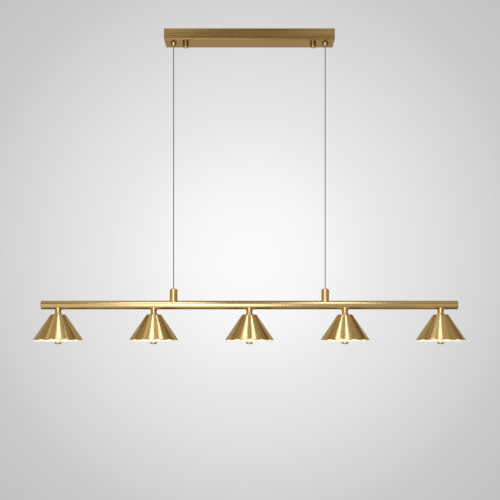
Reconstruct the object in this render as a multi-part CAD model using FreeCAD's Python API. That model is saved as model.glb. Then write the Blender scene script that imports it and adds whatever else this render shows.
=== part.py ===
import FreeCAD, Part
import math
import os

from FreeCAD import Vector

# A linear pendant light: five fluted cone shades under one round bar, which hangs on two taut
# cables from a slim box canopy. Millimetres, +Z up, +X along the bar, -Y to the front.
# The origin is the middle of the ceiling bracket's top face, so everything hangs below zero.

# Canopy
canopy_length = 485.0
canopy_depth = 60.0
canopy_height = 31.0
canopy_wall = 1.0
canopy_bend = 1.8
canopy_corner = 1.2

# Ceiling bracket
bracket_past_stud = 17.0
bracket_width = 30.0
bracket_thick = 2.0
bracket_corner = 5.0
slot_spacing = 120.0
slot_length = 30.0
slot_width = 5.5
wire_hole = 16.0
stud_from_gland = 35.0
stud_diameter = 4.0
stud_head = 8.0
stud_reach = 9.0
small_nut_flats = 7.0
small_nut_height = 3.2
earth_x = -112.0
earth_y = 7.0
earth_head = 8.0
earth_head_height = 2.6

# Cap nuts under the canopy
cap_nut_diameter = 16.5
cap_nut_height = 12.0
cap_nut_round = 2.2
cap_nut_bore_depth = 10.5

# Cable glands
gland_from_end = 24.5
gland_base = 20.0
gland_tip = 8.8
gland_drop = 9.5
gland_lip = 1.0
gland_shank = 12.0
gland_shank_rise = 6.0
gland_nut_flats = 16.0
gland_nut_height = 3.5

# Cables and the balls that carry them
cable_diameter = 2.3
cable_length = 705.9
ball_diameter = 6.0
liner_wall = 0.7
liner_hole = 4.8
liner_rise = 1.0
pivot_above_tip = 4.2

# Bar
bar_length = 1195.6
bar_diameter = 25.0
bar_wall = 1.2
end_cap_thick = 2.0
end_cap_spigot = 8.0
end_cap_wall = 2.0
end_cap_edge = 0.4

# Cable grips on the bar
grip_diameter = 22.0
grip_height = 34.4
grip_cap_height = 18.5
grip_edge = 1.6
grip_groove = 0.6
grip_groove_depth = 0.5
grip_thread = 14.0
grip_thread_length = 7.0
grip_shank = 10.0
grip_mouth = 6.8
pivot_below_grip_top = 6.0

# Lamps: neck, fluted shade, stem with its nuts
lamp_count = 5
lamp_from_end = 47.8
neck_height = 14.9
neck_top = 20.4
neck_waist = 17.2
neck_foot = 21.0
stem_diameter = 9.8
stem_bore = 7.0
nut_flats = 14.0
saddle_nut_height = 5.0
stem_nut_height = 4.0
washer_diameter = 19.0
washer_thick = 1.0
stem_past_nut = 1.0

# Fluted shade
flute_count = 12
shade_wall = 1.0
shade_height = 69.7
petal_drop = 2.5
rim_valley_radius = 68.0
rim_crest_rise = 1.8
shoulder_valley_radius = 22.9
shoulder_crest_rise = 0.5
shoulder_drop = 3.3
crown_radius = 19.2
crown_crest_rise = 0.4
shoulder_half_way_shares = (0.72, 0.36)

# Light source in each shade
plate_diameter = 100.0
plate_thick = 2.0
plate_above_diffuser = 12.0
board_diameter = 88.0
board_thick = 1.6
chip_count = 12
chip_circle = 60.0
chip_length = 3.5
chip_width = 2.8
chip_height = 0.8
connector_side = 6.0
connector_height = 9.0
connector_x = 13.0
diffuser_plug = 125.0
diffuser_flange = 135.2
diffuser_wall = 2.5
diffuser_rise = 2.2
diffuser_under_petals = 5.3
flange_clear = 0.2
diffuser_edge = 0.8

# Finial knob under each diffuser
finial_diameter = 21.0
finial_height = 7.4
finial_neck = 14.0
finial_neck_height = 2.6
finial_round = 3.2
finial_bore_depth = 5.0

# Driver, terminals and wires in the canopy
driver_from_stud = 19.0
driver_case_length = 92.0
driver_cover_length = 15.0
driver_width = 30.0
driver_height = 18.0
driver_edge = 1.5
driver_cover_step = 3.0
tape_thick = 1.0
tape_margin = 3.0
block_left = -92.0
block_pole_pitch = 11.0
block_poles = 3
block_depth = 18.0
block_base_height = 9.0
block_tower = 7.0
block_tower_height = 6.0
block_screw = 3.2
block_screw_depth = 2.5
supply_wire = 2.2
supply_wire_apart = 9.0
driver_wire_apart = 16.0
ring_diameter = 8.0
ring_thick = 0.8
ring_tongue = 3.0
ring_tongue_length = 7.0
lead_run_y = 21.0
lead_clear = 8.0
lead_from_gland = 14.0
lead_past_driver = 12.0

# Wires in the bar
bus_wire = 1.8
bus_overhang = 26.0
feed_turn_above = 2.0
lamp_wire = 1.4
lamp_wire_apart = 2.0
splice_diameter = 3.4
splice_length = 9.0
splice_from_lamp = 17.0
wire_window = 3.8

# Clearances
seat_gap = 0.05
running_gap = 0.06
ball_gap = 0.3
hole_gap = 0.15
wire_gap = 0.6
overrun = 5.0

# Lengths and places that follow
cable_spacing = canopy_length - 2 * gland_from_end
stud_spacing = cable_spacing - 2 * stud_from_gland
bracket_length = stud_spacing + 2 * bracket_past_stud
lamp_pitch = (bar_length - 2 * lamp_from_end) / (lamp_count - 1)
driver_right = stud_spacing / 2 - driver_from_stud
driver_left = driver_right - driver_case_length - 2 * driver_cover_length
pivot_top_z = -canopy_height - gland_drop + pivot_above_tip
pivot_low_z = pivot_top_z - cable_length
grip_top_z = pivot_low_z + pivot_below_grip_top
bar_radius = bar_diameter / 2
bar_bore = bar_radius - bar_wall
bar_z = grip_top_z - grip_height - bar_radius
crown_z = bar_z - bar_radius - neck_height
valley_rim_z = crown_z - shade_height
petal_z = valley_rim_z - petal_drop
canopy_floor_z = -canopy_height + canopy_wall
cable_xs = (-cable_spacing / 2, cable_spacing / 2)
stud_xs = (-stud_spacing / 2, stud_spacing / 2)
lamp_xs = [(k - (lamp_count - 1) / 2) * lamp_pitch for k in range(lamp_count)]
sides = ("left", "right")
parts_made = {}


# Small makers that every piece shares
def save(name, solids):
    """Keeps one node: a solid, or a list of separate solids of the same kind."""
    shape = Part.makeCompound(solids) if isinstance(solids, list) else solids
    for s in shape.Solids:
        if not s.isValid() or s.Volume <= 0:
            raise ValueError(name + " has a bad solid")
    parts_made[name] = shape


def post(diameter, low, high, x=0.0, y=0.0):
    """A round post along Z."""
    return Part.makeCylinder(diameter / 2, high - low, Vector(x, y, low))


def rod_x(diameter, left, right, y=0.0, z=0.0):
    """A round rod along X."""
    return Part.makeCylinder(diameter / 2, right - left, Vector(left, y, z), Vector(1, 0, 0))


def block(x0, x1, y0, y1, z0, z1):
    return Part.makeBox(x1 - x0, y1 - y0, z1 - z0, Vector(x0, y0, z0))


def hex_nut(flats, bore, low, high, x=0.0):
    """A hexagon nut on Z with flats to the front and back."""
    corner = flats / 2 / math.cos(math.pi / 6)
    ring = [Vector(x + corner * math.cos(math.pi * k / 3), corner * math.sin(math.pi * k / 3), low)
            for k in range(7)]
    nut = Part.Face(Part.makePolygon(ring)).extrude(Vector(0, 0, high - low))
    return nut.cut(post(bore, low - overrun, high + overrun, x))


def turned(outline, x=0.0):
    """Turns a closed outline of (radius, height) points about the vertical at x.
    A third entry in a point is the bulge height: that side is an arc through (bulge radius, it)."""
    edges = []
    for k, point in enumerate(outline):
        after = outline[(k + 1) % len(outline)]
        a, b = Vector(point[0], 0, point[1]), Vector(after[0], 0, after[1])
        if len(point) > 2:
            edges.append(Part.Arc(a, Vector(point[2], 0, point[3]), b).toShape())
        else:
            edges.append(Part.LineSegment(a, b).toShape())
    solid = Part.Face(Part.Wire(edges)).revolve(Vector(0, 0, 0), Vector(0, 0, 1), 360)
    solid.translate(Vector(x, 0, 0))
    return solid


def edges_at(shape, height):
    """The edges that lie wholly at one height."""
    near = seat_gap
    return [e for e in shape.Edges
            if abs(e.BoundBox.ZMin - height) < near and abs(e.BoundBox.ZMax - height) < near]


def wire_along(points, diameter, bend):
    """A round wire along straight runs joined by tangent arcs of one bend radius."""
    pts = [Vector(*p) for p in points]
    edges, start = [], pts[0]
    for before, here, after in zip(pts, pts[1:], pts[2:]):
        back, on = (before - here).normalize(), (after - here).normalize()
        half = back.getAngle(on) / 2
        cut = bend / math.tan(half)
        a, b = here + back * cut, here + on * cut
        middle = (back + on).normalize()
        centre = here + middle * (bend / math.sin(half))
        edges.append(Part.LineSegment(start, a).toShape())
        edges.append(Part.Arc(a, centre - middle * bend, b).toShape())
        start = b
    edges.append(Part.LineSegment(start, pts[-1]).toShape())
    path = Part.Wire(edges)
    ring = Part.Wire(Part.makeCircle(diameter / 2, pts[0], (pts[1] - pts[0])))
    return path.makePipeShell([ring], True, False)


# Ceiling bracket with its slots, wire hole, countersinks and earth hole
def make_bracket():
    plate = block(-bracket_length / 2, bracket_length / 2, -bracket_width / 2, bracket_width / 2,
                  -bracket_thick, 0)
    uprights = [e for e in plate.Edges if e.BoundBox.ZLength > bracket_thick / 2]
    plate = plate.makeFillet(bracket_corner, uprights)
    low, high = -bracket_thick - overrun, overrun
    for middle in (-slot_spacing / 2, slot_spacing / 2):
        reach = (slot_length - slot_width) / 2
        plate = plate.cut(block(middle - reach, middle + reach, -slot_width / 2, slot_width / 2,
                                low, high))
        for end in (middle - reach, middle + reach):
            plate = plate.cut(post(slot_width, low, high, end))
    plate = plate.cut(post(wire_hole, low, high))
    for x in stud_xs:
        plate = plate.cut(countersunk(x, seat_gap))
    plate = plate.cut(post(stud_diameter + 2 * seat_gap, low, high, earth_x, earth_y))
    return plate


def countersunk(x, gap):
    """The countersunk head and shank of a canopy stud, or the room for it with a gap."""
    head, shank = stud_head / 2 + gap, stud_diameter / 2 + gap
    bottom = -canopy_height - stud_reach
    return turned([(0, 0), (head, 0), (shank, -bracket_thick), (shank, bottom), (0, bottom)], x)


save("ceiling_bracket", make_bracket())
save("canopy_studs", [countersunk(x, 0) for x in stud_xs])
save("stud_nuts", [hex_nut(small_nut_flats, stud_diameter + 2 * seat_gap,
                           -bracket_thick - small_nut_height, -bracket_thick, x) for x in stud_xs])
ring_low_z = -bracket_thick - ring_thick
earth_shank = post(stud_diameter, ring_low_z - earth_head_height / 2, 0, earth_x, earth_y)
earth_cap = post(earth_head, ring_low_z - earth_head_height, ring_low_z, earth_x, earth_y)
save("earth_screw", earth_shank.fuse(earth_cap).removeSplitter())


# Canopy: a folded sheet box, open to the ceiling
def make_canopy():
    x, y = canopy_length / 2, canopy_depth / 2
    outer = block(-x, x, -y, y, -canopy_height, 0)
    upright = [e for e in outer.Edges if e.BoundBox.ZLength > canopy_height / 2]
    outer = outer.makeFillet(canopy_corner, upright)
    outer = outer.makeFillet(canopy_bend, edges_at(outer, -canopy_height))
    xi, yi = x - canopy_wall, y - canopy_wall
    inner = block(-xi, xi, -yi, yi, canopy_floor_z, overrun)
    inner = inner.makeFillet(canopy_bend - canopy_wall, edges_at(inner, canopy_floor_z))
    tray = outer.cut(inner)
    low, high = -canopy_height - overrun, canopy_floor_z + overrun
    for gx, sx in zip(cable_xs, stud_xs):
        tray = tray.cut(post(gland_shank + 2 * hole_gap, low, high, gx))
        tray = tray.cut(post(stud_diameter + 4 * hole_gap, low, high, sx))
    return tray


save("canopy", make_canopy())


# Cap nuts that hold the canopy up on its studs
def make_cap_nut(x):
    top, low = -canopy_height, -canopy_height - cap_nut_height
    body = post(cap_nut_diameter, low, top, x)
    body = body.makeFillet(cap_nut_round, edges_at(body, low))
    return body.cut(post(stud_diameter + 2 * running_gap, top - cap_nut_bore_depth, top + overrun, x))


for side, x in zip(sides, stud_xs):
    save("cap_nut_" + side, make_cap_nut(x))

# Glands: a cone under the canopy with a round seat inside for the swivel liner
liner_bore = ball_diameter + 2 * ball_gap
liner_outer = liner_bore + 2 * liner_wall
seat_bore = liner_outer + 2 * ball_gap
gland_mouth = liner_bore
gland_tip_z = -canopy_height - gland_drop


def make_gland(x):
    top = canopy_floor_z + gland_shank_rise
    shoulder = -canopy_height - gland_lip
    outline = [(0, top), (gland_shank / 2, top), (gland_shank / 2, -canopy_height),
               (gland_base / 2, -canopy_height), (gland_base / 2, shoulder),
               (gland_tip / 2, gland_tip_z), (0, gland_tip_z)]
    body = turned(outline, x)
    body = body.cut(post(seat_bore, pivot_top_z, top + overrun, x))
    body = body.cut(Part.makeSphere(seat_bore / 2, Vector(x, 0, pivot_top_z)))
    return body.cut(post(gland_mouth, gland_tip_z - overrun, pivot_top_z, x))


def make_liner(x):
    """A thin round cup between the gland's seat and the ball, open at the top."""
    shell = Part.makeSphere(liner_outer / 2, Vector(x, 0, pivot_top_z))
    shell = shell.cut(Part.makeSphere(liner_bore / 2, Vector(x, 0, pivot_top_z)))
    over = pivot_top_z + liner_rise
    shell = shell.cut(post(seat_bore + overrun, over, over + seat_bore, x))
    return shell.cut(post(liner_hole, gland_tip_z - overrun, pivot_top_z, x))


for side, x in zip(sides, cable_xs):
    save("gland_" + side, make_gland(x))
save("gland_nuts", [hex_nut(gland_nut_flats, gland_shank + 2 * seat_gap, canopy_floor_z,
                            canopy_floor_z + gland_nut_height, x) for x in cable_xs])
save("swivel_liners", [make_liner(x) for x in cable_xs])


# Cables, each with a crimped ball at both ends
def make_ball(x, z):
    ball = Part.makeSphere(ball_diameter / 2, Vector(x, 0, z))
    return ball.cut(post(cable_diameter + 2 * seat_gap, z - ball_diameter, z + ball_diameter, x))


cable_past_pivot = math.sqrt(ball_diameter ** 2 - cable_diameter ** 2) / 2
for side, x in zip(sides, cable_xs):
    save("cable_" + side, post(cable_diameter, pivot_low_z - cable_past_pivot,
                               pivot_top_z + cable_past_pivot, x))
    save("cable_balls_" + side, [make_ball(x, pivot_top_z), make_ball(x, pivot_low_z)])

# Grips on the bar: a coped base with a thread, and a cap that holds the ball down
grip_split_z = grip_top_z - grip_cap_height
grip_nut_low_z = bar_z + bar_bore - saddle_nut_height
ball_room = ball_diameter + 2 * ball_gap
bar_seat = rod_x(bar_diameter + 2 * seat_gap, -bar_length, bar_length, 0, bar_z)
bar_inside = rod_x(2 * (bar_bore - seat_gap), -bar_length, bar_length, 0, bar_z)


def make_grip_base(x):
    body = post(grip_diameter, bar_z, grip_split_z - grip_groove, x)
    body = body.cut(bar_seat)
    body = body.fuse(post(grip_thread, grip_split_z - grip_groove - overrun / 2,
                          grip_split_z + grip_thread_length, x))
    shank = post(grip_shank, grip_nut_low_z - stem_past_nut, grip_split_z - overrun, x)
    body = body.fuse(shank).removeSplitter()
    return body.cut(post(ball_room, bar_z - bar_radius, grip_top_z, x))


def make_grip_cap(x):
    low = grip_split_z
    neck = grip_diameter - 2 * grip_groove_depth
    body = post(grip_diameter, low, grip_top_z, x)
    body = body.makeFillet(grip_edge, edges_at(body, grip_top_z))
    body = body.fuse(post(neck, low - grip_groove, low, x)).removeSplitter()
    body = body.cut(post(grip_thread + 2 * seat_gap, low - overrun,
                         low + grip_thread_length + seat_gap, x))
    body = body.cut(post(ball_room, low, pivot_low_z, x))
    body = body.cut(Part.makeSphere(ball_room / 2, Vector(x, 0, pivot_low_z)))
    throat = liner_hole / 2
    reach = math.sqrt((ball_room / 2) ** 2 - throat ** 2)
    mouth = Part.makeCone(throat, grip_mouth / 2, pivot_below_grip_top - reach,
                          Vector(x, 0, pivot_low_z + reach))
    return body.cut(mouth).cut(post(liner_hole, pivot_low_z, pivot_low_z + reach, x))


def saddle_nut(x, low, high):
    """A nut whose outer face follows the inside of the tube."""
    return hex_nut(nut_flats, stem_diameter + 2 * seat_gap + (grip_shank - stem_diameter), low, high,
                   x).common(bar_inside)


for side, x in zip(sides, cable_xs):
    save("grip_base_" + side, make_grip_base(x))
    save("grip_cap_" + side, make_grip_cap(x))
save("grip_nuts", [saddle_nut(x, grip_nut_low_z, bar_z + bar_bore) for x in cable_xs])


# Bar: a round tube with holes for the grips above and the lamp stems below
def make_bar():
    half = bar_length / 2 - end_cap_thick
    tube = rod_x(bar_diameter, -half, half, 0, bar_z)
    tube = tube.cut(rod_x(2 * bar_bore, -bar_length, bar_length, 0, bar_z))
    for x in cable_xs:
        tube = tube.cut(post(grip_shank + 2 * hole_gap, bar_z, bar_z + bar_diameter, x))
    for x in lamp_xs:
        tube = tube.cut(post(stem_diameter + 2 * hole_gap, bar_z - bar_diameter, bar_z, x))
    return tube


def make_bar_end(way):
    """A flush disc with a hollow spigot that is pressed into the tube."""
    face = way * bar_length / 2
    seat = face - way * end_cap_thick
    tip = seat - way * end_cap_spigot
    disc = rod_x(bar_diameter, min(face, seat), max(face, seat), 0, bar_z)
    rims = [e for e in disc.Edges if abs(e.BoundBox.XMin - face) < seat_gap
            and abs(e.BoundBox.XMax - face) < seat_gap]
    disc = disc.makeFillet(end_cap_edge, rims)
    spigot = 2 * (bar_bore - seat_gap)
    disc = disc.fuse(rod_x(spigot, min(seat, tip), max(seat, tip), 0, bar_z))
    hollow = spigot - 2 * end_cap_wall
    return disc.cut(rod_x(hollow, min(seat, tip - way * overrun), max(seat, tip - way * overrun),
                          0, bar_z)).removeSplitter()


save("bar_tube", make_bar())
for side, way in zip(sides, (-1, 1)):
    save("bar_end_" + side, make_bar_end(way))

# Heights down each lamp
diffuser_top_z = valley_rim_z + diffuser_rise
diffuser_low_z = petal_z - diffuser_under_petals
diffuser_floor_z = diffuser_low_z + diffuser_wall
plate_low_z = diffuser_top_z + plate_above_diffuser
plate_top_z = plate_low_z + plate_thick
board_low_z = plate_low_z - board_thick
shade_nut_top_z = crown_z - shade_wall - washer_thick
stem_top_z = bar_z - bar_bore + saddle_nut_height + stem_past_nut
stem_low_z = diffuser_low_z - finial_bore_depth + stem_past_nut
window_z = plate_top_z + stem_nut_height + wire_window / 2
nut_bore = stem_diameter + 2 * seat_gap


def make_neck(x):
    """A waisted brass spacer whose top is coped to the bar."""
    top, foot = bar_z, crown_z
    middle = (bar_z - bar_radius + crown_z) / 2
    wall = bar_z - bar_radius
    body = turned([(0, foot), (neck_foot / 2, foot, neck_waist / 2, middle), (neck_top / 2, wall),
                   (neck_top / 2, top), (0, top)], x)
    body = body.cut(bar_seat)
    return body.cut(post(stem_diameter + 2 * hole_gap, foot - overrun, top + overrun, x))


def make_stem(x):
    """The threaded tube that carries a whole lamp, with a window for its two wires."""
    tube = post(stem_diameter, stem_low_z, stem_top_z, x)
    tube = tube.cut(post(stem_bore, window_z - wire_window, stem_top_z + overrun, x))
    return tube.cut(rod_x(wire_window, x - stem_diameter, x + stem_diameter, 0, window_z))


# Fluted shade: twelve convex lobes that meet in sharp valleys, with a scalloped rim
def lobed_ring(valley, rise, height, drop=0.0):
    """One arc for each lobe, from valley to valley, through its crest."""
    ring, step = [], 2 * math.pi / flute_count
    for k in range(flute_count):
        a = -math.pi / 2 + k * step
        crest = valley + rise
        ends = [Vector(valley * math.cos(t), valley * math.sin(t), height) for t in (a, a + step)]
        top = Vector(crest * math.cos(a + step / 2), crest * math.sin(a + step / 2), height - drop)
        ring.append(Part.Arc(ends[0], top, ends[1]).toShape())
    return ring


def skin_between(rings):
    return [Part.makeRuledSurface(a, b) for r1, r2 in zip(rings, rings[1:]) for a, b in zip(r1, r2)]


def make_shade():
    slope = math.atan((rim_valley_radius - shoulder_valley_radius) / (shade_height - shoulder_drop))
    across = shade_wall / math.cos(slope)
    out_share, down_share = shoulder_half_way_shares
    levels = [(crown_radius, crown_crest_rise, 0.0, 0.0),
              (crown_radius + (shoulder_valley_radius - crown_radius) * out_share,
               crown_crest_rise + (shoulder_crest_rise - crown_crest_rise) * out_share,
               shoulder_drop * down_share, 0.0),
              (shoulder_valley_radius, shoulder_crest_rise, shoulder_drop, 0.0),
              (rim_valley_radius, rim_crest_rise, shade_height, petal_drop)]
    outer = [lobed_ring(r, rise, crown_z - down, drop) for r, rise, down, drop in levels]
    inner = [lobed_ring(r - across, rise, crown_z - down, drop) for r, rise, down, drop in levels[2:]]
    inner.insert(0, lobed_ring(crown_radius, crown_crest_rise, crown_z - shade_wall))
    faces = skin_between(outer) + skin_between(inner) + skin_between([outer[-1], inner[-1]])
    faces.append(Part.Face(Part.Wire(outer[0])))
    faces.append(Part.Face(Part.Wire(inner[0])))
    shell = Part.Shell(faces)
    shell.sewShape()
    solid = Part.Solid(shell)
    if solid.Volume < 0:
        solid.reverse()
    return solid.cut(post(nut_bore + 2 * hole_gap, crown_z - 2 * shade_wall, crown_z + overrun))


def make_board(x):
    """The light board with its ring of chips, which face down."""
    board = post(board_diameter, board_low_z, plate_low_z, x)
    for k in range(chip_count):
        chip = block(chip_circle / 2 - chip_width / 2, chip_circle / 2 + chip_width / 2,
                     -chip_length / 2, chip_length / 2, board_low_z - chip_height,
                     board_low_z + board_thick / 2)
        chip.rotate(Vector(0, 0, 0), Vector(0, 0, 1), (k + 1 / 2) * 360 / chip_count)
        chip.translate(Vector(x, 0, 0))
        board = board.fuse(chip)
    return board.cut(post(nut_bore, board_low_z - overrun, plate_top_z, x)).removeSplitter()


def make_plate(x):
    """The metal plate behind the board, with the two wire connectors on top."""
    plate = post(plate_diameter, plate_low_z, plate_top_z, x)
    for way in (-1, 1):
        near = x + way * connector_x
        far = near + way * connector_side
        plate = plate.fuse(block(min(near, far), max(near, far), -connector_side / 2,
                                 connector_side / 2, plate_top_z, plate_top_z + connector_height))
    return plate.cut(post(nut_bore, plate_low_z - overrun, plate_top_z + overrun, x))


def make_diffuser(x):
    """An opal tray: its plug stands in the rim and its flange lies just under the petals."""
    step = petal_z - flange_clear
    body = post(diffuser_flange, diffuser_low_z, step, x)
    body = body.makeFillet(diffuser_edge, edges_at(body, diffuser_low_z))
    body = body.fuse(post(diffuser_plug, step, diffuser_top_z, x)).removeSplitter()
    body = body.cut(post(diffuser_plug - 2 * diffuser_wall, diffuser_floor_z,
                         diffuser_top_z + overrun, x))
    return body.cut(post(nut_bore + 2 * hole_gap, diffuser_low_z - overrun, diffuser_top_z, x))


def make_finial(x):
    """The round knob that is screwed on the stem's end and holds the diffuser up."""
    top, low = diffuser_low_z, diffuser_low_z - finial_height
    wide = top - finial_neck_height
    knob = turned([(0, top), (finial_neck / 2, top), (finial_diameter / 2, wide),
                   (finial_diameter / 2, low), (0, low)], x)
    knob = knob.makeFillet(finial_round, edges_at(knob, low))
    return knob.cut(post(stem_diameter + 2 * running_gap, top - finial_bore_depth, top + overrun, x))


# Every other shade sits half a flute round on its stem
fluted = make_shade()
for k, x in enumerate(lamp_xs, 1):
    shade = fluted.copy()
    if k % 2 == 0:
        shade.rotate(Vector(0, 0, 0), Vector(0, 0, 1), 180 / flute_count)
    shade.translate(Vector(x, 0, 0))
    save(f"neck_{k}", make_neck(x))
    save(f"shade_{k}", shade)
    save(f"diffuser_{k}", make_diffuser(x))
    save(f"finial_{k}", make_finial(x))
save("stems", [make_stem(x) for x in lamp_xs])
save("shade_washers", [post(washer_diameter, shade_nut_top_z, crown_z - shade_wall, x).cut(
    post(nut_bore, shade_nut_top_z - overrun, crown_z, x)) for x in lamp_xs])
nuts = []
for x in lamp_xs:
    nuts.append(saddle_nut(x, bar_z - bar_bore, bar_z - bar_bore + saddle_nut_height))
    for top in (shade_nut_top_z, plate_top_z + stem_nut_height, board_low_z,
                diffuser_floor_z + stem_nut_height):
        nuts.append(hex_nut(nut_flats, nut_bore, top - stem_nut_height, top, x))
save("stem_nuts", nuts)
save("led_plates", [make_plate(x) for x in lamp_xs])
save("led_boards", [make_board(x) for x in lamp_xs])

# Driver on its tape, with a lower cover at each end
driver_low_z = canopy_floor_z + tape_thick
case_left = driver_left + driver_cover_length
case_right = case_left + driver_case_length


def make_driver_case():
    box = block(case_left, case_right, -driver_width / 2, driver_width / 2, driver_low_z,
                driver_low_z + driver_height)
    long_edges = [e for e in box.Edges if e.BoundBox.XLength > driver_case_length / 2]
    return box.makeFillet(driver_edge, long_edges)


def make_driver_cover(left):
    top = driver_low_z + driver_height - driver_cover_step
    box = block(left, left + driver_cover_length, -driver_width / 2, driver_width / 2, driver_low_z,
                top)
    long_edges = [e for e in box.Edges if e.BoundBox.XLength > driver_cover_length / 2]
    return box.makeFillet(driver_edge, long_edges)


save("driver_case", make_driver_case())
save("driver_covers", [make_driver_cover(driver_left), make_driver_cover(case_right)])
save("driver_tape", block(case_left + tape_margin, case_right - tape_margin,
                          -driver_width / 2 + tape_margin, driver_width / 2 - tape_margin,
                          canopy_floor_z, driver_low_z))


# Three-pole terminal block on the canopy floor
def make_terminal_block():
    right = block_left + block_poles * block_pole_pitch
    top = canopy_floor_z + block_base_height
    body = block(block_left, right, -block_depth / 2, block_depth / 2, canopy_floor_z, top)
    for k in range(block_poles):
        x = block_left + (k + 1 / 2) * block_pole_pitch
        body = body.fuse(post(block_tower, top - block_tower_height / 2, top + block_tower_height, x))
        body = body.cut(post(block_screw, top + block_tower_height - block_screw_depth,
                             top + block_tower_height + overrun, x))
    return body.removeSplitter()


save("terminal_block", make_terminal_block())

# Wires in the canopy: two from the terminals to the driver, and the earth with its ring
block_right = block_left + block_poles * block_pole_pitch
wire_z = canopy_floor_z + block_base_height / 2
wire_bend = 2 * supply_wire
first_bend_x = (2 * block_right + driver_left) / 3
next_bend_x = (block_right + 2 * driver_left) / 3
supply = []
for way in (-1, 1):
    y0, y1 = way * supply_wire_apart / 2, way * driver_wire_apart / 2
    supply.append(wire_along([(block_right, y0, wire_z), (first_bend_x, y0, wire_z),
                              (next_bend_x, y1, wire_z), (driver_left, y1, wire_z)],
                             supply_wire, wire_bend))
save("supply_leads", supply)

tongue_end = earth_x + ring_tongue_length
crimp_z = -bracket_thick - supply_wire / 2 - hole_gap
rise_x = (block_left + tongue_end) / 2
earth = wire_along([(block_left, earth_y, wire_z), (rise_x, earth_y, wire_z),
                    (rise_x, earth_y, crimp_z), (earth_x + earth_head / 2 + hole_gap, earth_y, crimp_z)],
                   supply_wire, supply_wire)
ring = post(ring_diameter, ring_low_z, -bracket_thick, earth_x, earth_y)
ring = ring.fuse(block(earth_x, tongue_end, earth_y - ring_tongue / 2, earth_y + ring_tongue / 2,
                       ring_low_z, -bracket_thick))
ring = ring.cut(post(stud_diameter + 2 * seat_gap, ring_low_z - overrun, overrun, earth_x, earth_y))
save("earth_lead", earth.fuse(ring).removeSplitter())

# Low-voltage leads from the driver to the top of each cable
tail_low_z = pivot_top_z + ball_diameter / 2 + wire_gap
tail_high_z = canopy_floor_z + gland_shank_rise + lead_clear
tail_bend = 2 * cable_diameter
tails = []
for way in (-1, 1):
    gland_x = way * cable_spacing / 2
    leave_x = gland_x - way * (gland_nut_flats + overrun)
    over_x = gland_x - way * lead_from_gland
    y = way * driver_wire_apart / 2
    run = [(driver_right, y, wire_z)]
    if way < 0:
        run += [(driver_right + lead_past_driver, y, wire_z),
                (driver_right + lead_past_driver, -lead_run_y, wire_z)]
        y = -lead_run_y
    run += [(leave_x, y, wire_z), (over_x, 0, tail_high_z), (gland_x, 0, tail_high_z),
            (gland_x, 0, tail_low_z)]
    tails.append(wire_along(run, cable_diameter, tail_bend))
save("output_leads", tails)

# Wires in the bar: one bus from each grip, with a drop down every lamp's stem
bus_y = nut_flats / 2 + wire_gap + bus_wire / 2
bus_z = bar_z - math.sqrt((bar_bore - splice_diameter / 2 - seat_gap) ** 2 - bus_y ** 2)
lamp_bend = 2 * lamp_wire - wire_gap / 2


def splice(x, y):
    return rod_x(splice_diameter, x - splice_length / 2, x + splice_length / 2, y, bus_z)


def make_bar_lead(way):
    """One conductor: its feed from the grip, the bus, and five drops."""
    y, feed_x = way * bus_y, way * cable_spacing / 2
    lead = rod_x(bus_wire, lamp_xs[0] - bus_overhang, lamp_xs[-1] + bus_overhang, y, bus_z)
    feed_top = pivot_low_z - ball_diameter / 2 - wire_gap
    turn_z = bar_z + feed_turn_above
    lead = lead.fuse([wire_along([(feed_x, 0, feed_top), (feed_x, 0, turn_z), (feed_x, y, bus_z)],
                                 bus_wire, 2 * bus_wire), splice(feed_x, y)])
    for x in lamp_xs:
        from_x, inner_y = x + way * splice_from_lamp, way * lamp_wire_apart / 2
        drop = wire_along([(from_x, y, bus_z), (from_x, inner_y, bus_z), (x, inner_y, bus_z),
                           (x, inner_y, window_z), (x + way * connector_x, inner_y, window_z)],
                          lamp_wire, lamp_bend)
        lead = lead.fuse([drop, splice(from_x, y)])
    return lead.removeSplitter()


save("bar_leads", [make_bar_lead(way) for way in (-1, 1)])

os.makedirs("parts", exist_ok=True)
for name, shape in parts_made.items():
    shape.exportStep(f"parts/{name}.step")
print("nodes", len(parts_made), "solids", sum(len(s.Solids) for s in parts_made.values()))
print("bar centre", bar_z, "crown", crown_z, "valley rim", valley_rim_z, "petals", petal_z,
      "lowest", diffuser_low_z - finial_height)
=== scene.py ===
import math

import bmesh
import bpy
from mathutils import Matrix, Vector


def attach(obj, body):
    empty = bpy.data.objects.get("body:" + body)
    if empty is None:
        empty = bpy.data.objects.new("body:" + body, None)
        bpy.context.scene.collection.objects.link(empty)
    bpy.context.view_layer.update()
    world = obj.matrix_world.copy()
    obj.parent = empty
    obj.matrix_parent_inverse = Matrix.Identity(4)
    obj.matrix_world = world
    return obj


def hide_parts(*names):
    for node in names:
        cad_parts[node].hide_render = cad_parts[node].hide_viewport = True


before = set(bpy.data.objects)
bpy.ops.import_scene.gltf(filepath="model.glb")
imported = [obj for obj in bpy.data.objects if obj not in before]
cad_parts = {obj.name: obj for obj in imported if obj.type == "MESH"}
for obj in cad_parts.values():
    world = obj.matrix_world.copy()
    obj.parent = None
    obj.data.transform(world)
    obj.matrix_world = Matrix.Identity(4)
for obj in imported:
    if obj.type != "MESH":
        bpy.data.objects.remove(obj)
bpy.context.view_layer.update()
print("frame loaded")

# Places are in metres, and each piece's dictionary is in millimetres unless it says otherwise
mm = 0.001
lampSpacing = 0.275
lampXs = [(k - 2) * lampSpacing for k in range(5)]
cableXs = {"left": -0.218, "right": 0.218}
studXs = {"left": -0.183, "right": 0.183}
barZ, barRadius = -0.7831, 0.0125
crownZ = -0.8105

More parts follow.
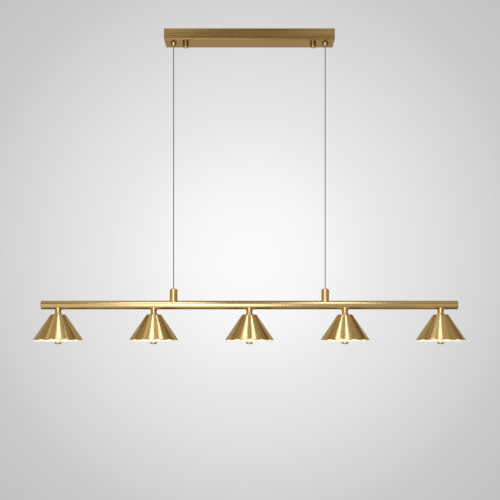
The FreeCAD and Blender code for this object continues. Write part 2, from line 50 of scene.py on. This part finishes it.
# Camera: level and in front of the middle, with its lens and shift from the photograph's pixels
shot = {"distance": 2.200, "height": -0.9166, "focal": 765.0, "horizonY": 351.5, "middleX": 249.4,
        "picture": 500, "sensor": 36}
camera = bpy.data.objects.new("camera", bpy.data.cameras.new("camera"))
bpy.context.scene.collection.objects.link(camera)
camera.location = (0, -shot["distance"], shot["height"])
camera.rotation_euler = (math.pi / 2, 0, 0)
camera.data.sensor_width = shot["sensor"]
camera.data.lens = shot["sensor"] * shot["focal"] / shot["picture"]
camera.data.shift_x = (shot["picture"] / 2 - shot["middleX"]) / shot["picture"]
camera.data.shift_y = (shot["horizonY"] - shot["picture"] / 2) / shot["picture"]
camera.data.clip_end = 100
bpy.context.scene.camera = camera


# Shader helpers
def feed(tree, socket, value):
    if isinstance(value, bpy.types.NodeSocket):
        tree.links.new(value, socket)
    else:
        socket.default_value = value


def addMath(tree, operation, *inputs):
    node = tree.nodes.new("ShaderNodeMath")
    node.operation = operation
    for socket, value in zip(node.inputs, inputs):
        feed(tree, socket, value)
    return node.outputs[0]


def splitVector(tree, vector):
    split = tree.nodes.new("ShaderNodeSeparateXYZ")
    tree.links.new(vector, split.inputs["Vector"])
    return split.outputs


def colourRamp(tree, factor, stops):
    # Stops are pairs of position and colour, in rising order
    ramp = tree.nodes.new("ShaderNodeValToRGB")
    elements = ramp.color_ramp.elements
    elements.remove(elements[0])
    for number, (position, colour) in enumerate(stops):
        stop = elements.new(position) if number else elements[0]
        stop.position = position
        stop.color = (*colour, 1)
    tree.links.new(factor, ramp.inputs["Fac"])
    return ramp.outputs["Color"]


def mixColours(tree, factor, first, second, blend="MIX"):
    mix = tree.nodes.new("ShaderNodeMix")
    mix.data_type = "RGBA"
    mix.blend_type = blend
    for name, value in (("Factor", factor), ("A", first), ("B", second)):
        feed(tree, mix.inputs[name], value)
    return mix.outputs["Result"]


def seesBackdrop(tree, mirrored):
    # The camera and clear pieces see the pale surroundings whole, and metal sees a share of them
    paths = tree.nodes.new("ShaderNodeLightPath")
    share = addMath(tree, "MULTIPLY", paths.outputs["Is Glossy Ray"], mirrored)
    seen = addMath(tree, "MAXIMUM", paths.outputs["Is Camera Ray"], paths.outputs["Is Transmission Ray"])
    return addMath(tree, "MAXIMUM", seen, share)


# Materials: the middle span of each noise runs between two tones and two roughnesses
noiseSpan = (0.3, 0.7)


def newMaterial(name):
    material = bpy.data.materials.new(name)
    material.use_nodes = True
    return material, material.node_tree, material.node_tree.nodes["Principled BSDF"]


def objectPlace(tree):
    return tree.nodes.new("ShaderNodeTexCoord").outputs["Object"]


def aroundLamp(tree):
    # Angle about the nearest lamp and height, so one finish serves all five
    axes = splitVector(tree, objectPlace(tree))
    join = tree.nodes.new("ShaderNodeCombineXYZ")
    fromLamp = addMath(tree, "WRAP", axes["X"], lampSpacing / 2, -lampSpacing / 2)
    forward = addMath(tree, "MULTIPLY", axes["Y"], -1.0)
    tree.links.new(addMath(tree, "ARCTAN2", fromLamp, forward), join.inputs["X"])
    tree.links.new(axes["Z"], join.inputs["Y"])
    return join.outputs["Vector"]


def noiseOver(tree, vector, scale, detail):
    mapping = tree.nodes.new("ShaderNodeMapping")
    mapping.inputs["Scale"].default_value = scale
    noise = tree.nodes.new("ShaderNodeTexNoise")
    noise.inputs["Scale"].default_value = 1.0
    noise.inputs["Detail"].default_value = detail
    tree.links.new(vector, mapping.inputs["Vector"])
    tree.links.new(mapping.outputs["Vector"], noise.inputs["Vector"])
    return noise.outputs["Fac"]


def paint(tree, socket, factor, tones):
    tree.links.new(colourRamp(tree, factor, zip(noiseSpan, tones)), socket)


def roughen(tree, shader, factor, rough):
    node = tree.nodes.new("ShaderNodeMapRange")
    node.inputs["From Min"].default_value, node.inputs["From Max"].default_value = noiseSpan
    node.inputs["To Min"].default_value, node.inputs["To Max"].default_value = rough
    tree.links.new(factor, node.inputs["Value"])
    tree.links.new(node.outputs["Result"], shader.inputs["Roughness"])


def relief(tree, shader, factor, depth):
    bump = tree.nodes.new("ShaderNodeBump")
    bump.inputs["Strength"].default_value = 0.5
    bump.inputs["Distance"].default_value = depth
    tree.links.new(factor, bump.inputs["Height"])
    tree.links.new(bump.outputs["Normal"], shader.inputs["Normal"])


def metal(name, tones, scale, rough, depth=0.00001, around=False):
    # Fine lines of the brushing over a broad patina
    lineShare, lineDetail = 0.45, 3.0
    cloudShare, cloudDetail, cloudScale = 0.55, 4.0, 9.0
    material, tree, shader = newMaterial(name)
    place = objectPlace(tree)
    lines = noiseOver(tree, aroundLamp(tree) if around else place, scale, lineDetail)
    clouds = noiseOver(tree, place, (cloudScale,) * 3, cloudDetail)
    both = addMath(tree, "ADD", addMath(tree, "MULTIPLY", lines, lineShare),
                   addMath(tree, "MULTIPLY", clouds, cloudShare))
    paint(tree, shader.inputs["Base Color"], both, tones)
    roughen(tree, shader, lines, rough)
    if depth:
        relief(tree, shader, lines, depth)
    shader.inputs["Metallic"].default_value = 1.0
    return material


def plastic(name, tones, rough, scale, depth=0.00002):
    material, tree, shader = newMaterial(name)
    grain = noiseOver(tree, objectPlace(tree), (scale,) * 3, 4.0)
    paint(tree, shader.inputs["Base Color"], grain, tones)
    roughen(tree, shader, grain, rough)
    relief(tree, shader, grain, depth)
    return material


def opalAcrylic():
    material, tree, shader = newMaterial("opal_acrylic")
    haze = noiseOver(tree, objectPlace(tree), (40.0,) * 3, 3.0)
    paint(tree, shader.inputs["Base Color"], haze, ((0.80, 0.77, 0.66), (0.85, 0.82, 0.72)))
    paint(tree, shader.inputs["Emission Color"], haze, ((1.0, 0.90, 0.70), (1.0, 0.93, 0.76)))
    shader.inputs["Emission Strength"].default_value = 0.45
    shader.inputs["Roughness"].default_value = 0.32
    return material


brassTones = ((0.58, 0.415, 0.18), (0.66, 0.48, 0.22))
sheetTones = ((0.396, 0.248, 0.082), (0.455, 0.29, 0.10))
# Turned brass painted paler for the finials: a painted glow standing in for the light of the diffusers just
# above them
glowLitTones = ((0.76, 0.65, 0.42), (0.84, 0.73, 0.49))
steelTones = ((0.50, 0.51, 0.53), (0.66, 0.67, 0.68))
aluminiumTones = ((0.62, 0.63, 0.65), (0.72, 0.73, 0.74))
turnedGrain = (20.0, 20.0, 500.0)
finish = {
    "shade": metal("satin_brass", brassTones, (14.0, 2.0, 1.0), (0.18, 0.22), 0.0, around=True),
    "bar": metal("brushed_bar_brass", brassTones, (3.0, 90.0, 90.0), (0.19, 0.24), 0.0),
    "canopy": metal("brushed_sheet_brass", sheetTones, (3.0, 240.0, 240.0), (0.24, 0.32), 0.0000015),
    # The finials' paler brass is painted light from the diffusers, not a different metal
    "finial": metal("glow_lit_turned_brass", glowLitTones, turnedGrain, (0.22, 0.28), 0.000001),
    "turned": metal("turned_brass", brassTones, turnedGrain, (0.16, 0.22), 0.000001),
    "steel": metal("zinc_steel", steelTones, (220.0, 220.0, 220.0), (0.28, 0.42)),
    "aluminium": metal("plain_aluminium", aluminiumTones, (9.0, 500.0, 9.0), (0.30, 0.42)),
    "cable": plastic("dark_cable", ((0.012, 0.012, 0.012), (0.035, 0.035, 0.034)), (0.45, 0.6), 400.0),
    "board": plastic("white_solder_mask", ((0.82, 0.83, 0.82), (0.90, 0.90, 0.88)), (0.30, 0.40), 120.0),
    "driver": plastic("driver_housing", ((0.78, 0.78, 0.76), (0.86, 0.86, 0.84)), (0.45, 0.6), 300.0),
    "foam": plastic("foam_tape", ((0.02, 0.02, 0.02), (0.05, 0.05, 0.05)), (0.8, 0.95), 900.0, 0.0001),
    "wire": plastic("wire_insulation", ((0.66, 0.66, 0.64), (0.78, 0.78, 0.75)), (0.35, 0.5), 200.0),
    "earth": plastic("earth_insulation", ((0.05, 0.24, 0.04), (0.12, 0.40, 0.06)), (0.35, 0.5), 90.0),
    "liner": plastic("nylon_liner", ((0.72, 0.72, 0.68), (0.82, 0.82, 0.78)), (0.35, 0.45), 400.0),
    "opal": opalAcrylic(),
}
print("materials made")


# Making and finishing pieces
def finishPiece(name, bm, key, body, nodes, sharp=32, weighted=True):
    bmesh.ops.remove_doubles(bm, verts=bm.verts, dist=0.002 * mm)
    bmesh.ops.recalc_face_normals(bm, faces=bm.faces)
    for face in bm.faces:
        face.smooth = True
    for edge in bm.edges:
        if len(edge.link_faces) == 2 and edge.calc_face_angle(0) > math.radians(sharp):
            edge.smooth = False
    mesh = bpy.data.meshes.new(name)
    bm.to_mesh(mesh)
    bm.free()
    piece = bpy.data.objects.new(name, mesh)
    bpy.context.scene.collection.objects.link(piece)
    mesh.materials.append(finish[key])
    if weighted:
        modifier = piece.modifiers.new("face_normals", "WEIGHTED_NORMAL")
        modifier.keep_sharp = True
    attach(piece, body)
    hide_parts(*nodes)


def turnOutline(bm, outline, rounding=0.0, steps=72, closed=False):
    # Spins (radius, height) points about Z, after rounding the outline's corners
    verts = [bm.verts.new((radius * mm, 0, height * mm)) for radius, height in outline]
    edges = [bm.edges.new(pair) for pair in zip(verts, verts[1:])]
    if closed:
        edges.append(bm.edges.new((verts[-1], verts[0])))
    if rounding:
        corners = verts if closed else verts[1:-1]
        bmesh.ops.bevel(bm, geom=corners, offset=rounding * mm, segments=3, profile=0.5, material=-1,
                        affect="VERTICES")
    bmesh.ops.spin(bm, geom=bm.verts[:] + bm.edges[:], axis=(0, 0, 1), cent=(0, 0, 0), angle=2 * math.pi,
                   steps=steps, use_merge=True)


def seatOnBar(bm, level, side):
    # Pulls the flat end at this level on to the round bar, from above (side 1) or below (side -1)
    for vert in bm.verts:
        if abs(vert.co.z - level * mm) < 0.01 * mm:
            vert.co.z = barZ + side * math.sqrt(max(barRadius ** 2 - vert.co.y ** 2, 0))


def turnPiece(name, outline, x, key, body, node, slot="turned_brass", seat=None, **turning):
    bm = bmesh.new()
    turnOutline(bm, outline, **turning)
    bmesh.ops.translate(bm, verts=bm.verts, vec=(x, 0, 0))
    if seat:
        seatOnBar(bm, *seat)
    finishPiece(name, bm, key, body, [node])


def arcTurns(first, last):
    # Angles round a quarter turn, from step first to step last of six
    return [math.radians(90 / 6 * n) for n in range(first, last + 1)]


# Cables: taut between their two balls (in metres)
cable = {"diameter": 0.0023, "length": 0.71144, "topZ": -0.03353, "glandTipZ": -0.0405,
         "betweenZ": (-0.2, -0.4, -0.6), "gripTopZ": -0.7362, "lowZ": -0.74497}
for side, x in cableXs.items():
    curve = bpy.data.curves.new(f"cable_line_{side}", "CURVE")
    curve.dimensions = "3D"
    curve.bevel_depth = cable["diameter"] / 2
    curve.bevel_resolution = 4
    curve.use_fill_caps = True
    spline = curve.splines.new("NURBS")
    heights = (cable["topZ"], cable["glandTipZ"], *cable["betweenZ"], cable["gripTopZ"], cable["lowZ"])
    spline.points.add(len(heights) - 1)
    for point, z in zip(spline.points, heights):
        point.co = (x, 0, z, 1)
    spline.order_u = 3
    spline.use_endpoint_u = True
    line = bpy.data.objects.new(f"cable_line_{side}", curve)
    bpy.context.scene.collection.objects.link(line)
    curve.materials.append(finish["cable"])
    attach(line, f"{side}_cable")
    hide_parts(f"cable_{side}")
print("cables made")


# Bar with its flush ends: half the outline, from the groove out to the end, and its mirror image
bar = {"radius": barRadius / mm, "half": 597.8, "endRound": 0.4, "endLine": 595.8, "grooveDepth": 0.14,
       "grooveEdge": 0.06, "grooveWidth": 0.26}


def barOutline():
    radius, half, line = bar["radius"], bar["half"], bar["endLine"]
    bottom = radius - bar["grooveDepth"]
    outline = [(radius, line - bar["grooveWidth"]), (bottom, line - bar["grooveWidth"] + bar["grooveEdge"]),
               (bottom, line - bar["grooveEdge"]), (radius, line), (radius, half - bar["endRound"]),
               (radius - bar["endRound"], half), (0, half)]
    return [(out, -along) for out, along in reversed(outline)] + outline


bm = bmesh.new()
turnOutline(bm, barOutline(), steps=96)
bmesh.ops.rotate(bm, verts=bm.verts, cent=(0, 0, 0), matrix=Matrix.Rotation(math.pi / 2, 3, "Y"))
bmesh.ops.translate(bm, verts=bm.verts, vec=(0, 0, barZ))
finishPiece("brass_bar", bm, "bar", "bar_and_lamps", ["bar_tube", "bar_end_left", "bar_end_right"],
            sharp=50)
print("bar made")


# Cable glands: cones with a lip, and a mouth that the cable leaves by
gland = {"top": -31.0, "baseRadius": 10.0, "lip": 1.0, "drop": 9.5, "tipRadius": 4.4, "tipSide": 0.5,
         "tipRise": 0.4, "mouth": 3.3, "mouthDepth": 4.0, "rounding": 0.2}


def glandOutline():
    top, low = gland["top"], gland["top"] - gland["drop"]
    base, tip, mouth = gland["baseRadius"], gland["tipRadius"], gland["mouth"]
    inside = low + gland["mouthDepth"]
    return [(0, top), (base, top), (base, top - gland["lip"]),
            (tip + gland["tipSide"], low + gland["tipRise"]), (tip, low), (mouth, low), (mouth, inside),
            (0, inside)]


# Cable grips: a bullet-shaped collar over a foot that is cut to the bar, with a groove between them
grip = {"radius": 11.0, "top": -736.2, "edge": 4.6, "shoulder": 6.0, "mouth": 2.4, "funnel": 3.4,
        "mouthDepth": 3.7, "split": -754.7, "groove": 0.6, "grooveDepth": 0.5, "rounding": 0.15,
        "footLevel": barZ / mm + 2.0}


def collarOutline():
    radius, top, split, low = grip["radius"], grip["top"], grip["split"], grip["split"] - grip["groove"]
    shoulder = [(radius - grip["edge"] * (1 - math.sin(turn)), top - grip["shoulder"] * (1 - math.cos(turn)))
                for turn in arcTurns(1, 6)]
    inner, inside = radius - grip["grooveDepth"], top - grip["mouthDepth"]
    return [(0, inside), (grip["mouth"], inside), (grip["funnel"], top), (radius - grip["edge"], top),
            *shoulder, (radius, split), (inner, split), (inner, low), (0, low)]


def footOutline():
    radius, top, level = grip["radius"], grip["split"] - grip["groove"], grip["footLevel"]
    return [(0, top), (radius, top), (radius, level), (0, level)]


# Cap nuts: short cylinders with a rounded lower edge
capNut = {"radius": 8.25, "top": -31.0, "height": 12.0, "edge": 2.2, "corner": 0.65, "rounding": 0.3}


def capNutOutline():
    radius, top, low = capNut["radius"], capNut["top"], capNut["top"] - capNut["height"]
    edge, corner = capNut["edge"], capNut["corner"]
    return [(0, top), (radius, top), (radius, low + edge), (radius - corner, low + corner),
            (radius - edge, low), (0, low)]


for side, x in cableXs.items():
    turnPiece(f"cable_gland_{side}", glandOutline(), x, "turned", "ceiling_side", f"gland_{side}",
              rounding=gland["rounding"])
    turnPiece(f"grip_collar_{side}", collarOutline(), x, "turned", "bar_and_lamps", f"grip_cap_{side}",
              rounding=grip["rounding"])
    turnPiece(f"grip_foot_{side}", footOutline(), x, "turned", "bar_and_lamps", f"grip_base_{side}",
              seat=(grip["footLevel"], 1))
for side, x in studXs.items():
    turnPiece(f"canopy_cap_nut_{side}", capNutOutline(), x, "turned", f"{side}_cap_nut", f"cap_nut_{side}",
              rounding=capNut["rounding"])
print("glands, grips and cap nuts made")


# Fluted shades: convex lobes that meet in sharp valleys
shade = {"lobes": 12, "perLobe": 24, "wall": 1.2, "hole": 5.1}


def lobeRadius(angle, turn, valley, rise):
    # Radius at this angle, and the share of the way from valley to crest
    if rise <= 0:
        return valley, 0.0
    half = math.pi / shade["lobes"]
    inLobe = (angle + math.pi / 2 - turn) % (2 * half) - half
    crest, mouth = valley + rise, valley * math.cos(half)
    sag, chord = crest - mouth, valley * math.sin(half)
    arc = (chord ** 2 + sag ** 2) / (2 * sag)
    centre = crest - arc
    radius = centre * math.cos(inLobe) + math.sqrt(arc ** 2 - (centre * math.sin(inLobe)) ** 2)
    return radius, (radius * math.cos(inLobe) - mouth) / sag


def shadeRings():
    # Each ring: valley radius, crest rise, depth under the crown, petal drop
    crown = [(shade["hole"], 0, 0, 0), (16.0, 0, 0, 0), (19.0, 0.4, 0.05, 0), (20.5, 0.45, 0.45, 0),
             (21.6, 0.45, 1.25, 0), (22.3, 0.5, 2.2, 0), (22.9, 0.5, 3.3, 0), (23.5, 0.5, 4.2, 0)]
    top, rim = crown[-1], (68.0, 1.8, 69.3, 2.6)
    shares = (0.03, 0.3, 0.6, 0.9, 0.985)
    flank = [tuple(a + (b - a) * share for a, b in zip(top, rim)) for share in shares]
    bead = [(rim[0] + out, rim[1], rim[2] + down, rim[3]) for out, down in (
        (0, 0), (0.1, 0.4), (0.1, 1.0), (-0.15, 1.5), (-0.6, 1.7), (-1.05, 1.5), (-1.3, 0.9), (-1.3, 0.1))]
    lining = [(ring[0] - shade["wall"], *ring[1:]) for ring in reversed(flank)]
    ceiling = [(22.0, 0.5, 3.6, 0), (20.6, 0.45, 2.0, 0), (18.6, 0.4, 1.15, 0), (15.5, 0, 1.0, 0),
               (shade["hole"], 0, 1.0, 0)]
    return crown + flank + bead + lining + ceiling


def makeShade(k, x):
    turn = 0.0 if k % 2 else math.pi / shade["lobes"]  # every other shade sits half a flute round
    bm = bmesh.new()
    bmesh.ops.create_circle(bm, segments=shade["lobes"] * shade["perLobe"], radius=1.0)
    bmesh.ops.rotate(bm, verts=bm.verts, cent=(0, 0, 0), matrix=Matrix.Rotation(math.pi / 2, 3, "Z"))
    first = ring = bm.edges[:]
    for number, (valley, rise, down, drop) in enumerate(shadeRings()):
        if number:
            made = bmesh.ops.extrude_edge_only(bm, edges=ring)["geom"]
            ring = [item for item in made if isinstance(item, bmesh.types.BMEdge)
                    and all(vert in made for vert in item.verts)]
        for vert in {vert for edge in ring for vert in edge.verts}:
            angle = math.atan2(vert.co.y, vert.co.x)
            radius, out = lobeRadius(angle, turn, valley, rise)
            vert.co = Vector((radius * mm * math.cos(angle), radius * mm * math.sin(angle),
                              crownZ - (down + drop * out) * mm))
    bmesh.ops.bridge_loops(bm, edges=first + ring)
    bmesh.ops.translate(bm, verts=bm.verts, vec=(x, 0, 0))
    finishPiece(f"fluted_shade_{k}", bm, "shade", "bar_and_lamps", [f"shade_{k}"], sharp=34,
                weighted=False)


# Necks: narrower in the middle, and cut to the bar at the top
neck = {"footRadius": 10.5, "lip": 0.5, "waist": 8.6, "topRadius": 10.2, "foot": -810.5, "top": -795.6,
        "seatLevel": -795.2}


def neckOutline():
    foot, radius, height = neck["foot"], neck["footRadius"], neck["top"] - neck["foot"]
    growth = neck["topRadius"] - radius
    pinch = (neck["topRadius"] + radius) / 2 - neck["waist"]
    waist = [(radius + growth * share - pinch * math.sin(math.pi * share), foot + height * share)
             for share in [n / 12 for n in range(1, 12)]]
    return [(0, foot), (radius, foot), (radius, foot + neck["lip"]), *waist,
            (neck["topRadius"], neck["seatLevel"]), (0, neck["seatLevel"])]


# Diffusers: open trays with a flange under the shade's rim
tray = {"top": -878.0, "step": -882.9, "low": -888.0, "plug": 62.5, "flange": 67.6, "wall": 2.5,
        "hole": 5.1, "rounding": 0.5}


def trayOutline():
    inner, floorLevel = tray["plug"] - tray["wall"], tray["low"] + tray["wall"]
    return [(tray["hole"], tray["low"]), (tray["flange"], tray["low"]), (tray["flange"], tray["step"]),
            (tray["plug"], tray["step"]), (tray["plug"], tray["top"]), (inner, tray["top"]),
            (inner, floorLevel), (tray["hole"], floorLevel)]


# Finials: flattened knobs, round above and below their widest line
finial = {"top": -888.0, "low": -895.4, "radius": 10.5, "neck": 7.0, "shoulder": 2.9, "flat": 5.0}


def finialOutline():
    top, radius, shoulder = finial["top"], finial["radius"], finial["shoulder"]
    widest = top - shoulder
    upper = [(finial["neck"] + (radius - finial["neck"]) * math.sin(turn), widest + shoulder * math.cos(turn))
             for turn in arcTurns(1, 5)]
    lower = [(finial["flat"] + (radius - finial["flat"]) * math.cos(turn),
              widest - (widest - finial["low"]) * math.sin(turn)) for turn in arcTurns(0, 6)]
    return [(0, top), (finial["neck"], top), *upper, *lower, (0, finial["low"])]


for k, x in enumerate(lampXs, 1):
    makeShade(k, x)
    turnPiece(f"waisted_neck_{k}", neckOutline(), x, "turned", "bar_and_lamps", f"neck_{k}",
              seat=(neck["seatLevel"], -1))
    turnPiece(f"opal_tray_{k}", trayOutline(), x, "opal", "bar_and_lamps", f"diffuser_{k}", "opal_acrylic",
              rounding=tray["rounding"], steps=128, closed=True)
    turnPiece(f"finial_knob_{k}", finialOutline(), x, "finial", f"finial_body_{k}", f"finial_{k}")
print("lamps made")

# Finishes on the pieces that keep their CAD shape
keptFinish = {
    "canopy": "canopy", "ceiling_bracket": "steel", "canopy_studs": "steel", "stud_nuts": "steel",
    "earth_screw": "steel", "gland_nuts": "steel", "driver_case": "driver", "driver_covers": "driver",
    "driver_tape": "foam", "terminal_block": "driver", "supply_leads": "wire", "earth_lead": "earth",
    "output_leads": "wire", "swivel_liners": "liner", "cable_balls_left": "steel",
    "cable_balls_right": "steel", "grip_nuts": "steel", "bar_leads": "wire", "stems": "steel",
    "stem_nuts": "steel", "shade_washers": "steel", "led_plates": "aluminium", "led_boards": "board",
}
for node, key in keptFinish.items():
    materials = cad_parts[node].data.materials
    materials.clear()
    materials.append(finish[key])
print("kept pieces finished")


# Studio lights, out of the camera's sight
def areaLight(name, place, facing, size, glow, colour):
    data = bpy.data.lights.new(name, "AREA")
    data.shape = "RECTANGLE"
    data.size, data.size_y = size
    data.energy = glow * math.pi * size[0] * size[1]
    data.color = colour
    lamp = bpy.data.objects.new(name, data)
    lamp.location = place
    lamp.rotation_euler = Vector(facing).to_track_quat("-Z", "Y").to_euler()
    bpy.context.scene.collection.objects.link(lamp)
    lamp.visible_camera = False


down, up, forwards = (0, 0, -1), (0, 0, 1), (0, 1, 0)
leaning = (0, 0.08, -0.95)  # down, and a little towards the lamp
warmWhite, blueWhite = (1.0, 0.97, 0.88), (0.93, 1.0, 1.25)

# Strips over and ahead of the lamp give the highlights along the bar and down the shades
areaLight("overhead_left", (-0.39, -0.49, 0.45), down, (0.34, 0.62), 2.9, blueWhite)
areaLight("overhead_right", (0.38, -0.49, 0.45), down, (0.22, 0.62), 3.5, blueWhite)
areaLight("forward_left", (-0.395, -0.78, -0.05), leaning, (0.49, 0.40), 2.7, blueWhite)
areaLight("forward_right", (0.345, -0.78, -0.05), leaning, (0.385, 0.40), 2.7, blueWhite)

# Wide panels before the lamp and on the ground fill it in, stronger on the left, with a bright window
areaLight("front_left", (-1.1, -2.4, -1.2), forwards, (2.2, 2.7), 0.72, warmWhite)
areaLight("ground_left", (-1.1, -1.45, -2.15), up, (2.2, 1.9), 0.45, warmWhite)
areaLight("front_right", (1.1, -2.4, -1.2), forwards, (2.2, 2.7), 0.40, warmWhite)
areaLight("ground_right", (1.1, -1.45, -2.15), up, (2.2, 1.9), 0.13, warmWhite)
areaLight("front_window", (-0.27, -2.35, -1.25), forwards, (0.75, 2.8), 3.0, blueWhite)

# Floor under the lamp, out of the photograph's frame (in metres): pale to the camera, grey to the room
ground = {"radius": 2.6, "z": -2.2, "grey": (0.30, 0.30, 0.30, 1), "pale": (0.80, 0.80, 0.80, 1),
          "mirrored": 0.3, "glow": 0.30, "glowColour": (0.80, 0.90, 1.0, 1)}
bm = bmesh.new()
bmesh.ops.create_circle(bm, cap_ends=True, segments=96, radius=ground["radius"])
bmesh.ops.translate(bm, verts=bm.verts, vec=(0, 0, ground["z"]))
mesh = bpy.data.meshes.new("pale_floor")
bm.to_mesh(mesh)
bm.free()
floor = bpy.data.objects.new("pale_floor", mesh)
bpy.context.scene.collection.objects.link(floor)
material, tree, shader = newMaterial("pale_floor_paint")
shader.inputs["Roughness"].default_value = 0.9
floorTone = mixColours(tree, seesBackdrop(tree, ground["mirrored"]), ground["grey"], ground["pale"])
tree.links.new(floorTone, shader.inputs["Base Color"])
shader.inputs["Emission Color"].default_value = ground["glowColour"]
floorGlow = addMath(tree, "MULTIPLY", seesBackdrop(tree, 0.0), ground["glow"])
tree.links.new(floorGlow, shader.inputs["Emission Strength"])
mesh.materials.append(material)

# World, by the way a ray leaves
world = bpy.data.worlds.new("studio")
bpy.context.scene.world = world
world.use_nodes = True
tree = world.node_tree
way = tree.nodes.new("ShaderNodeTexCoord").outputs["Generated"]
axes = splitVector(tree, way)


def levels(factor, *stops):
    return colourRamp(tree, factor, [(position, (level,) * 3) for position, level in stops])


def towards(direction):
    facing = tree.nodes.new("ShaderNodeVectorMath")
    facing.operation = "DOT_PRODUCT"
    facing.inputs[1].default_value = Vector(direction).normalized()
    tree.links.new(way, facing.inputs[0])
    return facing.outputs["Value"]


# What the metal sees: a dim warm room, by the turn about the vertical (0.5 is straight behind) and height
turnRound = addMath(tree, "ARCTAN2", axes["X"], axes["Y"])
byTurn = levels(addMath(tree, "MULTIPLY_ADD", turnRound, 0.5 / math.pi, 0.5),
                (0.0, 0.26), (0.11, 0.36), (0.165, 0.36), (0.183, 1.55), (0.194, 1.55), (0.208, 0.34),
                (0.306, 0.46), (0.383, 0.54), (0.422, 0.52), (0.444, 0.58), (0.464, 0.5), (0.478, 0.3),
                (0.517, 0.26), (0.536, 0.36), (0.556, 0.46), (0.578, 0.44), (0.617, 0.66), (0.653, 0.06),
                (0.694, 0.33), (0.744, 0.4), (0.772, 0.6), (0.806, 0.4), (0.889, 0.5), (1.0, 0.26))
byHeight = levels(addMath(tree, "MULTIPLY_ADD", axes["Z"], 0.5, 0.5),
                  (0.0, 0.15), (0.2, 0.3), (0.32, 0.4), (0.46, 0.85), (0.5, 1.0), (1.0, 1.0))
underCanopy = levels(towards((0, 1, -0.40)), (0.93, 0.0), (0.975, 0.60), (1.0, 0.60))
overFront = levels(towards((0, -0.36, 0.93)), (0.88, 0.0), (0.955, 0.20), (1.0, 0.20))
patches = addMath(tree, "ADD", underCanopy, overFront)
room = addMath(tree, "ADD", addMath(tree, "MULTIPLY", byTurn, byHeight), patches)
warmTint = (1.0, 0.875, 0.665, 1)
warmRoom = mixColours(tree, 1.0, room, warmTint, blend="MULTIPLY")

# What the camera sees: a pale backdrop, brightest in the middle of the view, that metal sees faintly
backdropShare = 0.25
ahead = towards((0, 1, 0.12))
backdrop = levels(ahead, (0.90, 0.53), (0.94, 0.60), (0.965, 0.71), (0.985, 0.80), (1.0, 0.955))
inView = levels(ahead, (0.92, 0.0), (0.975, 1.0))
seen = seesBackdrop(tree, addMath(tree, "MULTIPLY", inView, backdropShare))
tree.links.new(mixColours(tree, seen, warmRoom, backdrop), tree.nodes["Background"].inputs["Color"])

bpy.context.scene.view_settings.view_transform = "Standard"
print("studio made")
